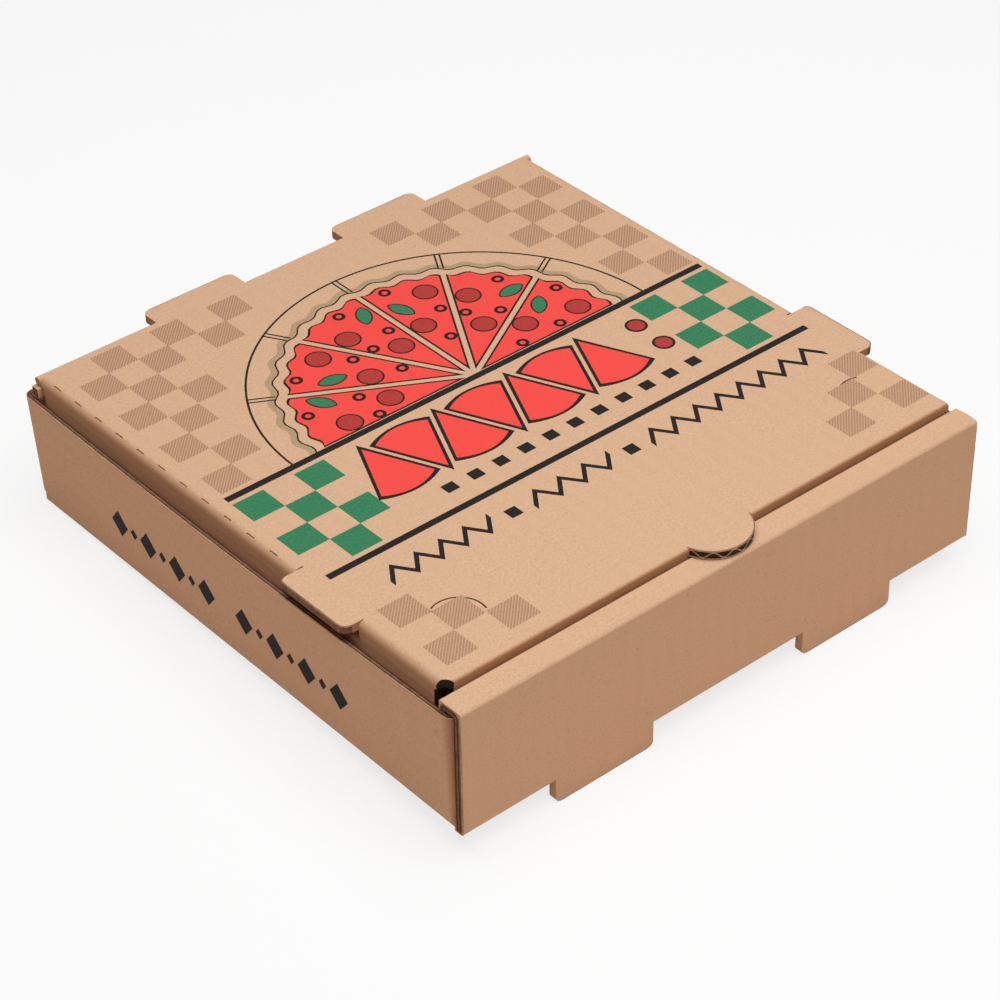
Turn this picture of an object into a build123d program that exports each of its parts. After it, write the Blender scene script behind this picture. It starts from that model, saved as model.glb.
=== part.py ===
from build123d import *
from math import cos, radians, sin, tan
import os

os.makedirs("parts", exist_ok=True)

# Board and its folds
board = 3.0
bend_inner = 0.2
bend_outer = bend_inner + board
bend_middle = bend_inner + board / 2
press_round = 1.2
layer_gap = 0.15
run_clearance = 0.3
kerf = 0.6

# Box sizes, heights taken from the underside of the base
box_width = 209.0
tray_depth = 212.0
foot_drop = 8.4
side_wall_height = 42.0
end_wall_height = 45.7
lid_top_height = 49.0
front_panel_width = 209.8

# How far the side walls stand out at their tops, and their cut edge, pressed thin by the knife
lean_front = 1.7
lean_middle = 3.0
lean_back = 2.1
cut_edge = 1.9
cut_edge_height = 3.6

# Corner flaps of the side walls, from the middle of the box to their tips
flap_lift = 0.8
front_flap_tip = 42.0
rear_flap_tip = 61.5

# Feet at the front, the slots they leave in the base and the lock tabs
foot_inner = 31.3
foot_outer = 69.8
foot_round = 2.0
slot_depth = 6.6
lock_inset = 1.4
lock_sink = 2.5

# Tongues of the lid at the back and the vents they leave in the wall
back_tongue_inner = 20.7
back_tongue_outer = 56.7
back_tongue_reach = 6.9
back_tongue_round = 2.5
vent_clearance = 0.4
vent_depth = 7.1

# Lid panel and its flaps
lid_width = 206.4
side_flap_depth = 36.0
side_flap_lean = 4.0
side_flap_taper = 5.0
side_flap_rear_taper = 3.0
side_flap_gap = 0.8
front_flap_depth = 34.0
front_flap_lean = 5.5
front_flap_width = 198.0
front_flap_chamfer = 6.0

# Tongues at the lid's sides, from the front of the tray
side_tongue_tip = 108.2
side_tongue_front = 47.4
side_tongue_rear = 77.6
side_tongue_front_round = 3.0
side_tongue_rear_round = 1.8
root_slit = 4.0

# Thumb tab, crescent cuts and corner reliefs, from the front of the tray
cut_shift = 3.3
tab_centre = 14.0
tab_radius = 13.2
crescent_side = 83.4
crescent_centre = 30.2
crescent_radius = 8.8
crescent_start = -15.0
crescent_sweep = 130.0
relief_radius = 3.3
relief_in = 0.3
relief_back = 1.75

# Short cuts that ease the lid's side folds, from the rear
score_length = 3.5
score_width = 0.45
score_depth = 0.9
score_pitch = 11.26
score_count = 11
score_rear = 10.4
score_x = 101.5

# Levels that follow from the sizes
base_z = foot_drop
base_middle_z = base_z + board / 2
base_top_z = base_z + board
flap_foot_z = base_top_z + flap_lift
side_top_z = base_z + side_wall_height
end_top_z = base_z + end_wall_height
strip_middle_z = end_top_z - board / 2
lid_top_z = base_z + lid_top_height
lid_middle_z = lid_top_z - board / 2
lid_under_z = lid_top_z - board

# Faces and middle lines that follow from the sizes
front_y = -(tray_depth + back_tongue_reach) / 2
back_y = front_y + tray_depth
front_panel_y = front_y + board / 2
inner_panel_y = front_y + 2 * (board + layer_gap) + board / 2
inner_face_y = inner_panel_y + board / 2
hinge_y = back_y - board / 2
base_front_y = front_y + bend_outer
base_back_y = back_y - bend_outer
corner_front_y = front_y + board + layer_gap
corner_back_y = back_y + layer_gap + board
half_width = box_width / 2
flat_half_width = half_width - bend_outer
side_middle_x = half_width - board / 2
inner_panel_half = half_width - board - kerf
back_wall_half = half_width - board - kerf
wall_rise = side_top_z - flap_foot_z
press_share = (wall_rise - cut_edge_height) / wall_rise
foot_middle = (foot_inner + foot_outer) / 2
foot_width = foot_outer - foot_inner
tongue_middle = (back_tongue_inner + back_tongue_outer) / 2
tongue_width = back_tongue_outer - back_tongue_inner

# Tray: the right half first, mirrored at the end
with BuildPart() as tray:
    # Flat of the base
    with BuildSketch(Plane.XY.offset(base_z)):
        with Locations((0, base_front_y)):
            Rectangle(
                flat_half_width,
                base_back_y - base_front_y,
                align=(Align.MIN, Align.MIN),
            )
    extrude(amount=board)

    # Fold from the base up to the side wall
    with BuildSketch(Plane.XZ.offset(-base_back_y)):
        with BuildLine():
            FilletPolyline(
                (flat_half_width - board, base_middle_z),
                (side_middle_x, base_middle_z),
                (side_middle_x, flap_foot_z),
                radius=bend_middle,
            )
        trace(line_width=board)
    extrude(amount=base_back_y - corner_front_y - bend_outer)

    # Ends of that fold, running on to the corners past the flat of the base
    with BuildSketch(Plane.XZ.offset(bend_outer - corner_back_y)):
        with BuildLine():
            CenterArc((flat_half_width, base_z + bend_outer), bend_middle, -90, 90)
            Line((side_middle_x, base_z + bend_outer), (side_middle_x, flap_foot_z))
        trace(line_width=board)
    extrude(amount=corner_back_y - bend_outer - base_back_y)
    with BuildSketch(Plane.XZ.offset(-corner_front_y - bend_outer)):
        with BuildLine():
            CenterArc((flat_half_width, base_z + bend_outer), bend_middle, -90, 90)
            Line((side_middle_x, base_z + bend_outer), (side_middle_x, flap_foot_z))
        trace(line_width=board)
    extrude(amount=bend_outer)

    # Side wall with its two corner flaps in one sheet, bowed out towards the top,
    # the front flap inside the front wall and the rear flap behind the back wall
    for level, thickness, share in (
        (flap_foot_z, board, 0),
        (side_top_z - cut_edge_height, board, press_share),
        (side_top_z, cut_edge, 1),
    ):
        front_x = half_width + share * lean_front
        back_x = half_width + share * lean_back
        bow_x = half_width + share * (2 * lean_middle - (lean_front + lean_back) / 2)
        bow_y = (corner_front_y + corner_back_y) / 2
        bend_front_y = corner_front_y + bend_outer
        bend_back_y = corner_back_y - bend_outer
        inner_bend = bend_outer - thickness
        with BuildSketch(Plane.XY.offset(level)):
            with BuildLine():
                # Outer face, from the front flap round to the rear flap
                Line((front_flap_tip, corner_front_y), (front_x - bend_outer, corner_front_y))
                CenterArc((front_x - bend_outer, bend_front_y), bend_outer, -90, 90)
                Bezier((front_x, bend_front_y), (bow_x, bow_y), (back_x, bend_back_y))
                CenterArc((back_x - bend_outer, bend_back_y), bend_outer, 0, 90)
                Line((back_x - bend_outer, corner_back_y), (rear_flap_tip, corner_back_y))
                # Inner face, back again
                Line((rear_flap_tip, corner_back_y), (rear_flap_tip, corner_back_y - thickness))
                Line(
                    (rear_flap_tip, corner_back_y - thickness),
                    (back_x - bend_outer, corner_back_y - thickness),
                )
                CenterArc((back_x - bend_outer, bend_back_y), inner_bend, 90, -90)
                Bezier(
                    (back_x - thickness, bend_back_y),
                    (bow_x - thickness, bow_y),
                    (front_x - thickness, bend_front_y),
                )
                CenterArc((front_x - bend_outer, bend_front_y), inner_bend, 0, -90)
                Line(
                    (front_x - bend_outer, corner_front_y + thickness),
                    (front_flap_tip, corner_front_y + thickness),
                )
                Line((front_flap_tip, corner_front_y + thickness), (front_flap_tip, corner_front_y))
            make_face()
    loft(ruled=True)

    # Front wall: up from the base, over the top and round the second bend
    with BuildSketch(Plane.YZ):
        with BuildLine():
            FilletPolyline(
                (base_front_y + kerf, base_middle_z),
                (front_panel_y, base_middle_z),
                (front_panel_y, strip_middle_z),
                (inner_panel_y, strip_middle_z),
                (inner_panel_y, side_top_z + run_clearance),
                radius=bend_middle,
            )
        trace(line_width=board)
        # The fold at the foot is pressed sharp
        with Locations((front_y, base_z)):
            Rectangle(bend_outer, bend_outer, align=(Align.MIN, Align.MIN))
        fillet(vertices().group_by(Axis.X)[0].sort_by(Axis.Y)[0], press_round)
    extrude(amount=front_panel_width / 2)

    # Front wall: from the strip down behind the corner flaps
    with BuildSketch(Plane.YZ):
        with BuildLine():
            FilletPolyline(
                (inner_panel_y - bend_middle - kerf, strip_middle_z),
                (inner_panel_y, strip_middle_z),
                (inner_panel_y, base_top_z + run_clearance),
                radius=bend_middle,
            )
        trace(line_width=board)
    extrude(amount=inner_panel_half)

    # Back wall, between the side walls
    with BuildSketch(Plane.YZ):
        with BuildLine():
            FilletPolyline(
                (base_back_y - kerf, base_middle_z),
                (hinge_y, base_middle_z),
                (hinge_y, end_top_z),
                radius=bend_middle,
            )
        trace(line_width=board)
    extrude(amount=back_wall_half)

    # Shoulder of the back wall, over the top of the side wall
    with BuildSketch(Plane.XZ.offset(-back_y)):
        with Locations((back_wall_half - kerf, end_top_z)):
            Rectangle(
                half_width - back_wall_half + kerf,
                end_top_z - side_top_z - run_clearance,
                align=(Align.MIN, Align.MAX),
            )
    extrude(amount=board)

    # Slot in the base, left where the foot was cut from it
    with BuildSketch(Plane.XY.offset(base_z)):
        with Locations((foot_middle, front_y + board)):
            Rectangle(foot_width + kerf, slot_depth, align=(Align.CENTER, Align.MIN))
    extrude(amount=board, mode=Mode.SUBTRACT)

    # Foot: the front panel runs on straight through its fold to the ground
    with BuildSketch(Plane.XZ.offset(-front_y - board)):
        with Locations((foot_middle, (base_z + bend_outer + foot_round) / 2)):
            RectangleRounded(foot_width, base_z + bend_outer + foot_round, foot_round)
    extrude(amount=board)

    # Lock tab of the inner panel, standing in the slot
    with BuildSketch(Plane.XZ.offset(-inner_face_y)):
        with Locations((foot_middle, base_top_z + foot_round)):
            RectangleRounded(
                foot_width - 2 * lock_inset,
                2 * (lock_sink + foot_round),
                foot_round,
            )
    extrude(amount=board)

    # Vent left in the back wall by the lid's tongue
    with BuildSketch(Plane.XZ.offset(-back_y)):
        with Locations((tongue_middle, end_top_z)):
            RectangleRounded(tongue_width + 2 * vent_clearance, 2 * vent_depth, back_tongue_round)
    extrude(amount=board, mode=Mode.SUBTRACT)

    mirror(about=Plane.YZ)

# Middle lines of the lid's folds
lid_half_width = lid_width / 2
lid_flat_half = lid_half_width - bend_outer
lid_side_x = lid_half_width - board / 2
front_flap_y = inner_face_y + run_clearance + board / 2
lid_flat_y = front_flap_y + board
front_flap_outer_y = front_flap_y - board / 2 / cos(radians(front_flap_lean))
side_flap_length = (side_flap_depth + board / 2) / cos(radians(side_flap_lean))
front_flap_length = (front_flap_depth + board / 2) / cos(radians(front_flap_lean))
side_flap_foot_z = lid_under_z - side_flap_depth - board
front_flap_foot_z = lid_under_z - front_flap_depth - board
side_flap_front_y = front_flap_y + board / 2 + side_flap_gap
side_flap_rear_y = back_y - board - side_flap_gap
side_tongue_front_y = front_y + side_tongue_front
side_tongue_rear_y = front_y + side_tongue_rear
side_tongue_middle_y = (side_tongue_front_y + side_tongue_rear_y) / 2
side_tongue_width = side_tongue_rear_y - side_tongue_front_y
side_tongue_reach = side_tongue_tip - lid_side_x
tab_centre_y = front_y + tab_centre
tab_fold_height = lid_middle_z + tab_centre_y - front_flap_y
crescent_y = front_y + crescent_centre

# Lid, hinged on the top edge of the back wall
with BuildPart() as lid:
    # Flat of the panel
    with BuildSketch(Plane.XY.offset(lid_under_z)):
        with Locations((0, front_flap_y + board / 2)):
            Rectangle(
                lid_flat_half,
                hinge_y - front_flap_y - board / 2,
                align=(Align.MIN, Align.MIN),
            )
    extrude(amount=board)

    # Side fold and side flap, leaning in; the fold runs on into the front corner
    with BuildSketch(Plane.XZ.offset(-hinge_y)):
        with BuildLine():
            FilletPolyline(
                (lid_flat_half - board, lid_middle_z),
                (lid_side_x, lid_middle_z),
                (
                    lid_side_x - side_flap_length * sin(radians(side_flap_lean)),
                    lid_middle_z - side_flap_length * cos(radians(side_flap_lean)),
                ),
                radius=bend_middle,
            )
        trace(line_width=board)
    extrude(amount=hinge_y - front_flap_outer_y - press_round)

    # Side flap cut clear of the front flap and of the back wall
    with BuildSketch(Plane.YZ.offset(lid_flat_half - 2 * board)):
        with BuildLine():
            Polyline(
                (front_flap_y - board, lid_under_z),
                (side_flap_front_y, lid_under_z),
                (side_flap_front_y + side_flap_taper, side_flap_foot_z),
                (front_flap_y - board, side_flap_foot_z),
                close=True,
            )
        make_face()
        with BuildLine():
            Polyline(
                (hinge_y + board, lid_under_z),
                (side_flap_rear_y, lid_under_z),
                (side_flap_rear_y - side_flap_rear_taper, side_flap_foot_z),
                (hinge_y + board, side_flap_foot_z),
                close=True,
            )
        make_face()
    extrude(amount=4 * board, mode=Mode.SUBTRACT)

    # Opening that the side tongue leaves in the flap
    with BuildSketch(Plane.YZ.offset(lid_flat_half - 2 * board)):
        with Locations((side_tongue_middle_y, lid_under_z)):
            Rectangle(
                side_tongue_width + kerf,
                side_tongue_reach - board / 2,
                align=(Align.CENTER, Align.MAX),
            )
        fillet(vertices().group_by(Axis.Y)[0], side_tongue_rear_round)
    extrude(amount=4 * board, mode=Mode.SUBTRACT)

    # Side tongue
    with BuildSketch(Plane.XY.offset(lid_under_z)):
        with Locations((lid_flat_half - board, side_tongue_middle_y)):
            Rectangle(
                side_tongue_tip - lid_flat_half + board,
                side_tongue_width,
                align=(Align.MIN, Align.CENTER),
            )
        fillet(
            vertices().group_by(Axis.X)[-1].sort_by(Axis.Y)[0],
            side_tongue_front_round,
        )
        fillet(
            vertices().group_by(Axis.Y)[-1].sort_by(Axis.X)[-1],
            side_tongue_rear_round,
        )
    extrude(amount=board)

    # Slit at the rear root of the side tongue
    with BuildSketch(Plane.XY.offset(lid_under_z)):
        with Locations((lid_half_width - root_slit, side_tongue_rear_y)):
            Rectangle(root_slit + board, kerf, align=(Align.MIN, Align.MIN))
    extrude(amount=board, mode=Mode.SUBTRACT)

    # Short cuts along the side fold
    with BuildSketch(Plane.XY.offset(lid_top_z - score_depth)):
        for step in range(score_count):
            with Locations((score_x, back_y - score_rear - step * score_pitch)):
                Rectangle(score_width, score_length)
    extrude(amount=score_depth, mode=Mode.SUBTRACT)

    # Front fold and front flap, leaning in
    with BuildSketch(Plane.YZ):
        with BuildLine():
            FilletPolyline(
                (lid_flat_y, lid_middle_z),
                (front_flap_y, lid_middle_z),
                (
                    front_flap_y + front_flap_length * sin(radians(front_flap_lean)),
                    lid_middle_z - front_flap_length * cos(radians(front_flap_lean)),
                ),
                radius=bend_middle,
            )
        trace(line_width=board)
        # The fold is pressed sharp
        with BuildLine():
            Polyline(
                (front_flap_outer_y - board / 2 * tan(radians(front_flap_lean)), lid_top_z),
                (lid_flat_y, lid_top_z),
                (lid_flat_y, lid_middle_z),
                (front_flap_y, lid_under_z),
                (front_flap_outer_y + board / 2 * tan(radians(front_flap_lean)), lid_under_z),
                close=True,
            )
        make_face()
        fillet(vertices().group_by(Axis.X)[0].sort_by(Axis.Y)[-1], press_round)
    extrude(amount=front_flap_width / 2)

    # Lower corner of the front flap cut off
    with BuildSketch(Plane.XZ.offset(-lid_flat_y - board)):
        with BuildLine():
            Polyline(
                (front_flap_width / 2 - front_flap_chamfer - board, front_flap_foot_z),
                (front_flap_width / 2, front_flap_foot_z),
                (front_flap_width / 2, front_flap_foot_z + front_flap_chamfer + board),
                close=True,
            )
        make_face()
    extrude(amount=4 * board, mode=Mode.SUBTRACT)

    # Relief hole at the corner between the flaps
    with BuildSketch(Plane.XY.offset(lid_under_z - board)):
        with Locations((lid_half_width - relief_in, front_flap_y - relief_back)):
            Circle(relief_radius)
    extrude(amount=2 * board, mode=Mode.SUBTRACT)

    # Rounded rear edge on the hinge line
    with BuildSketch(Plane.YZ):
        with Locations((hinge_y, lid_middle_z)):
            Circle(board / 2)
    extrude(amount=lid_half_width)

    # Back tongue, cut from the back wall
    with BuildSketch(Plane.XY.offset(lid_under_z)):
        with Locations((tongue_middle, hinge_y)):
            RectangleRounded(
                tongue_width,
                2 * (board / 2 + back_tongue_reach),
                back_tongue_round,
            )
    extrude(amount=board)

    mirror(about=Plane.YZ)

    # Thumb tab
    with BuildSketch(Plane.XY.offset(lid_under_z)):
        with Locations((cut_shift, tab_centre_y)):
            Circle(tab_radius)
    extrude(amount=board)

    # Hole that the thumb tab leaves in the front flap
    with BuildSketch(Plane.XZ.offset(-lid_flat_y)):
        with Locations((cut_shift, tab_fold_height)):
            Circle(tab_radius + kerf / 2)
        with Locations((cut_shift, lid_under_z)):
            Rectangle(
                4 * tab_radius,
                4 * tab_radius,
                align=(Align.CENTER, Align.MIN),
                mode=Mode.SUBTRACT,
            )
    extrude(amount=3 * board, mode=Mode.SUBTRACT)

    # Crescent cuts near the front corners
    with BuildSketch(Plane.XY.offset(lid_under_z)):
        with BuildLine():
            CenterArc(
                (cut_shift - crescent_side, crescent_y),
                crescent_radius,
                crescent_start,
                crescent_sweep,
            )
        trace(line_width=kerf)
        with BuildLine():
            CenterArc(
                (cut_shift + crescent_side, crescent_y),
                crescent_radius,
                180 - crescent_start,
                -crescent_sweep,
            )
        trace(line_width=kerf)
    extrude(amount=board, mode=Mode.SUBTRACT)

tray.part.label = "tray"
lid.part.label = "lid"
export_step(tray.part, "parts/tray.step")
export_step(lid.part, "parts/lid.step")
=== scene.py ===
import math

import bmesh
import bpy
from mathutils import Matrix, Vector


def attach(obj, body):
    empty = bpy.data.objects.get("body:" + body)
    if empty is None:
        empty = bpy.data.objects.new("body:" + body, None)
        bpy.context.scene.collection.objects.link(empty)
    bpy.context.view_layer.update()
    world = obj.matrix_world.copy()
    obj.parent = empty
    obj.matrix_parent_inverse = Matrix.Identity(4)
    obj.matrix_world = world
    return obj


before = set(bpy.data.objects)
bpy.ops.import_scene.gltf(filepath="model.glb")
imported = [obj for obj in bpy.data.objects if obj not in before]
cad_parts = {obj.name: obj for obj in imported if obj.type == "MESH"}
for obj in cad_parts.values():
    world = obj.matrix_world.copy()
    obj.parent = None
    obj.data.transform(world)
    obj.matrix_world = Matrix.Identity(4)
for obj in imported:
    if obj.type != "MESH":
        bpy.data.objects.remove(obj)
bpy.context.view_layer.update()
mm = 0.001
up = Vector((0, 0, 1))

# Box facts in millimetres, in the model's frame
box = {
    "board": 3.0,
    "baseZ": 8.4,
    "wallTopZ": 50.4,
    "stripTopZ": 54.1,
    "lidUnderZ": 54.4,
    "lidTopZ": 57.4,
    "frontY": -109.45,
    "backY": 102.55,
    "lidHalf": 103.2,
    "foldRadius": 3.2,
    "flutePitch": 6.6,
}
halfBoard = box["board"] / 2


def shade(red, green, blue):
    # screen colour 0-255 to the linear colour that nodes take
    def linear(c):
        c /= 255
        return c / 12.92 if c <= 0.04045 else ((c + 0.055) / 1.055) ** 2.4

    return (linear(red), linear(green), linear(blue), 1)


# Camera, at the photograph's place
cameraValues = {
    "focalPixels": 3026.2,
    "imageWidth": 1000,
    "sensorWidth": 36,
    "azimuth": -40.06,
    "elevation": 37.054,
    "roll": -0.941,
    "distance": 953.0,
    "target": (-10.7, -15.92, 28.4),
    "clip": (0.01, 20),
}


def makeCamera(values):
    azimuth, elevation = math.radians(values["azimuth"]), math.radians(values["elevation"])
    level = math.cos(elevation)
    back = Vector((math.sin(azimuth) * level, -math.cos(azimuth) * level, math.sin(elevation)))
    right = up.cross(back).normalized()
    turn = Matrix.Rotation(math.radians(values["roll"]), 3, back)
    right, above = turn @ right, turn @ back.cross(right)
    place = (Vector(values["target"]) + back * values["distance"]) * mm
    camera = bpy.data.objects.new("camera", bpy.data.cameras.new("camera"))
    bpy.context.collection.objects.link(camera)
    camera.data.sensor_width = values["sensorWidth"]
    camera.data.lens = values["focalPixels"] / values["imageWidth"] * values["sensorWidth"]
    camera.data.clip_start, camera.data.clip_end = values["clip"]
    rows = [(right[i], above[i], back[i], place[i]) for i in range(3)] + [(0, 0, 0, 1)]
    camera.matrix_world = Matrix(rows)
    bpy.context.scene.camera = camera


makeCamera(cameraValues)
print("camera placed")


# Materials
def nodeMaterial(name, rough, gloss=0.25):
    material = bpy.data.materials.new(name)
    material.use_nodes = True
    nodes, links = material.node_tree.nodes, material.node_tree.links
    shader = nodes["Principled BSDF"]
    shader.inputs["Roughness"].default_value = rough
    shader.inputs["Specular IOR Level"].default_value = gloss
    return material, nodes, links, shader


def addNode(nodes, kind, **values):
    node = nodes.new(kind)
    for key, value in values.items():
        if hasattr(node, key) and key not in node.inputs:
            setattr(node, key, value)
        else:
            node.inputs[key].default_value = value
    return node


def feed(links, socket, value):
    # links a socket, or sets a plain value
    if isinstance(value, bpy.types.NodeSocket):
        links.new(value, socket)
    elif value is not None:
        socket.default_value = value


def mixColour(nodes, links, factor, first, second):
    node = nodes.new("ShaderNodeMix")
    node.data_type, node.clamp_factor = "RGBA", True
    for socket, value in ((node.inputs[0], factor), (node.inputs[6], first), (node.inputs[7], second)):
        feed(links, socket, value)
    return node.outputs[2]


def ramp(nodes, links, source, low, high, lowValue=0.0, highValue=1.0):
    node = addNode(nodes, "ShaderNodeMapRange", clamp=True)
    node.inputs["From Min"].default_value = low
    node.inputs["From Max"].default_value = high
    node.inputs["To Min"].default_value = lowValue
    node.inputs["To Max"].default_value = highValue
    links.new(source, node.inputs["Value"])
    return node.outputs[0]


def maths(nodes, links, operation, first, second=None):
    node = nodes.new("ShaderNodeMath")
    node.operation = operation
    feed(links, node.inputs[0], first)
    feed(links, node.inputs[1], second)
    return node.outputs[0]


def addBump(nodes, links, shader, height, strength, depth):
    bump = addNode(nodes, "ShaderNodeBump", Strength=strength, Distance=depth)
    links.new(height, bump.inputs["Height"])
    links.new(bump.outputs[0], shader.inputs["Normal"])


kraft = {
    "liner": (216, 175, 141),
    "pale": (228, 190, 157),
    "deep": (203, 160, 126),
    "fleck": (158, 116, 84),
    # fold colour: partly the tone of pressed fibres, partly painted shade
    "foldShadeAndToneColour": (158, 104, 64),
    "fibreScale": 1500,
    "fibreStretch": (1.0, 0.7, 1.0),
    "fibreRange": (0.3, 0.7),
    "fleckScale": 1100,
    "fleckRange": (0.7, 0.78, 0.0, 0.4),
    "cloudScale": 60,
    "cloudRange": (0.35, 0.65, 0.35, 0.75),
    "roughness": 0.82,
    # the flutes below show as faint bands
    "sideways": (0.6, 0.8),
    "bandPatches": (0.4, 0.6, 0.3, 1.0),
    "bandTone": 0.12,
    "bandHeight": 0.35,
    "bump": (0.22, 0.00012),
}


def kraftPattern(nodes, links, values):
    # colour and height of kraft paper: clouds, fine fibres and flecks
    coords = nodes.new("ShaderNodeTexCoord").outputs["Object"]
    clouds = addNode(nodes, "ShaderNodeTexNoise", Scale=values["cloudScale"], Detail=5.0)
    fibreMap = addNode(nodes, "ShaderNodeMapping", Scale=values["fibreStretch"])
    fibres = addNode(nodes, "ShaderNodeTexNoise", Scale=values["fibreScale"], Detail=3.0)
    specks = addNode(nodes, "ShaderNodeTexNoise", Scale=values["fleckScale"], Detail=1.0)
    links.new(coords, clouds.inputs["Vector"])
    links.new(coords, fibreMap.inputs["Vector"])
    links.new(fibreMap.outputs[0], fibres.inputs["Vector"])
    links.new(coords, specks.inputs["Vector"])
    share = ramp(nodes, links, fibres.outputs[0], *values["fibreRange"])
    tone = mixColour(nodes, links, share, shade(*values["deep"]), shade(*values["pale"]))
    share = ramp(nodes, links, clouds.outputs[0], *values["cloudRange"])
    tone = mixColour(nodes, links, share, tone, shade(*values["liner"]))
    share = ramp(nodes, links, specks.outputs[0], *values["fleckRange"])
    tone = mixColour(nodes, links, share, tone, shade(*values["fleck"]))
    return coords, tone, fibres.outputs[0], clouds.outputs[0]


# Where a fold is darkened: on the lid's folds partly the deeper tone of pressed fibres and partly painted
# shade, at the tray's front corner bends painted shade of the gap. Spans: axis, then where the tone starts
# and is full, in millimetres.
# Away: the axis that a flat face there looks along. Turn: the normal's share along it, likewise.
foldShadeAndTone = {
    "lid": {"spans": ((2, 50.5, 54.5),), "away": 2, "turn": (0.97, 0.35), "strength": 0.68},
    "tray": {
        "spans": ((0, 102.6, 103.2), (1, -102.6, -105.4), (2, 50.9, 50.5)),
        "away": 1,
        "turn": (0.98, 0.85),
        "strength": 0.75,
    },
}


def foldShadeAndToneCover(nodes, links, axes, facing, limits):
    flat = maths(nodes, links, "ABSOLUTE", facing.outputs[limits["away"]])
    cover = ramp(nodes, links, flat, *limits["turn"])
    for axis, start, full in limits["spans"]:
        place = maths(nodes, links, "ABSOLUTE", axes.outputs[0]) if axis == 0 else axes.outputs[axis]
        cover = maths(nodes, links, "MULTIPLY", cover, ramp(nodes, links, place, start * mm, full * mm))
    return maths(nodes, links, "MULTIPLY", cover, limits["strength"])


def kraftMaterial(name, values, limits):
    material, nodes, links, shader = nodeMaterial(name, values["roughness"])
    coords, tone, fibres, clouds = kraftPattern(nodes, links, values)
    # flutes run front to back, so they show across X, and up the side walls across Z
    axes = nodes.new("ShaderNodeSeparateXYZ")
    links.new(coords, axes.inputs[0])
    facing = nodes.new("ShaderNodeSeparateXYZ")
    links.new(nodes.new("ShaderNodeTexCoord").outputs["Normal"], facing.inputs[0])
    sideways = maths(nodes, links, "ABSOLUTE", facing.outputs[0])
    across = nodes.new("ShaderNodeMix")
    links.new(ramp(nodes, links, sideways, *values["sideways"]), across.inputs[0])
    links.new(axes.outputs[0], across.inputs[2])
    links.new(axes.outputs[2], across.inputs[3])
    turns = maths(nodes, links, "MULTIPLY", across.outputs[0], 2 * math.pi / (box["flutePitch"] * mm))
    wave = maths(nodes, links, "SINE", turns)
    bands = maths(nodes, links, "MULTIPLY", wave, ramp(nodes, links, clouds, *values["bandPatches"]))
    share = ramp(nodes, links, bands, -1.0, 1.0, 0.0, values["bandTone"])
    tone = mixColour(nodes, links, share, tone, shade(*values["deep"]))
    # painted shade, partly the pressed fibres' tone: folds darken towards the fold colour
    cover = foldShadeAndToneCover(nodes, links, axes, facing, limits)
    tone = mixColour(nodes, links, cover, tone, shade(*values["foldShadeAndToneColour"]))
    links.new(tone, shader.inputs["Base Color"])
    height = maths(nodes, links, "ADD", maths(nodes, links, "MULTIPLY", bands, values["bandHeight"]), fibres)
    addBump(nodes, links, shader, height, *values["bump"])
    return material


trayBoard = kraftMaterial("tray_board", kraft, foldShadeAndTone["tray"])
lidBoard = kraftMaterial("lid_board", kraft, foldShadeAndTone["lid"])

inkValues = {
    "roughness": 0.72,
    "gloss": 0.12,
    "patches": (0.35, 0.75),
    "patchShares": (0.4, 1.6),
    "bump": (0.15, 0.0001),
    # fine slanting lines, with thinner ink between them
    "screen": {"angle": 45, "pitch": 0.85, "soft": 0.5, "cover": (0.35, 0.85)},
}


def inkMaterial(name, colour, through, screen=None, values=inkValues):
    # ink printed on kraft: the paper's tone shows through a little
    material, nodes, links, shader = nodeMaterial(name, values["roughness"], values["gloss"])
    coords, tone, fibres, clouds = kraftPattern(nodes, links, kraft)
    thin, thick = values["patchShares"]
    patchy = ramp(nodes, links, fibres, *values["patches"], through * thin, through * thick)
    printed = mixColour(nodes, links, patchy, shade(*colour), tone)
    if screen:
        turned = addNode(nodes, "ShaderNodeMapping", Rotation=(0, 0, math.radians(screen["angle"])))
        links.new(coords, turned.inputs["Vector"])
        axes = nodes.new("ShaderNodeSeparateXYZ")
        links.new(turned.outputs[0], axes.inputs[0])
        turns = maths(nodes, links, "MULTIPLY", axes.outputs[0], 2 * math.pi / (screen["pitch"] * mm))
        wave = maths(nodes, links, "SINE", turns)
        cover = ramp(nodes, links, wave, -screen["soft"], screen["soft"], *screen["cover"])
        printed = mixColour(nodes, links, cover, tone, printed)
    links.new(printed, shader.inputs["Base Color"])
    addBump(nodes, links, shader, fibres, *values["bump"])
    return material


# Inks: colour, and how much of the paper shows through
inks = {
    "black": inkMaterial("ink_black", (21, 18, 19), 0.01),
    "red": inkMaterial("ink_red", (246, 76, 70), 0.03),
    "darkRed": inkMaterial("ink_dark_red", (176, 52, 50), 0.04),
    "green": inkMaterial("ink_green", (28, 122, 84), 0.05),
    "crust": inkMaterial("ink_crust", (172, 146, 112), 0.2),
    "check": inkMaterial("ink_check", (158, 118, 92), 0.1, inkValues["screen"]),
}

# Cut edges of the paper: name, colour, and the share of it that the darker patches keep
paperEdges = {
    "liners": ("liner_edge", (204, 162, 126), 0.85),
    "shadows": ("flute_shadow", (52, 34, 24), 0.6),
    "flutes": ("medium_edge", (196, 160, 126), 0.85),
    "pressed": ("pressed_edge", (140, 98, 70), 0.8),
}


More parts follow.
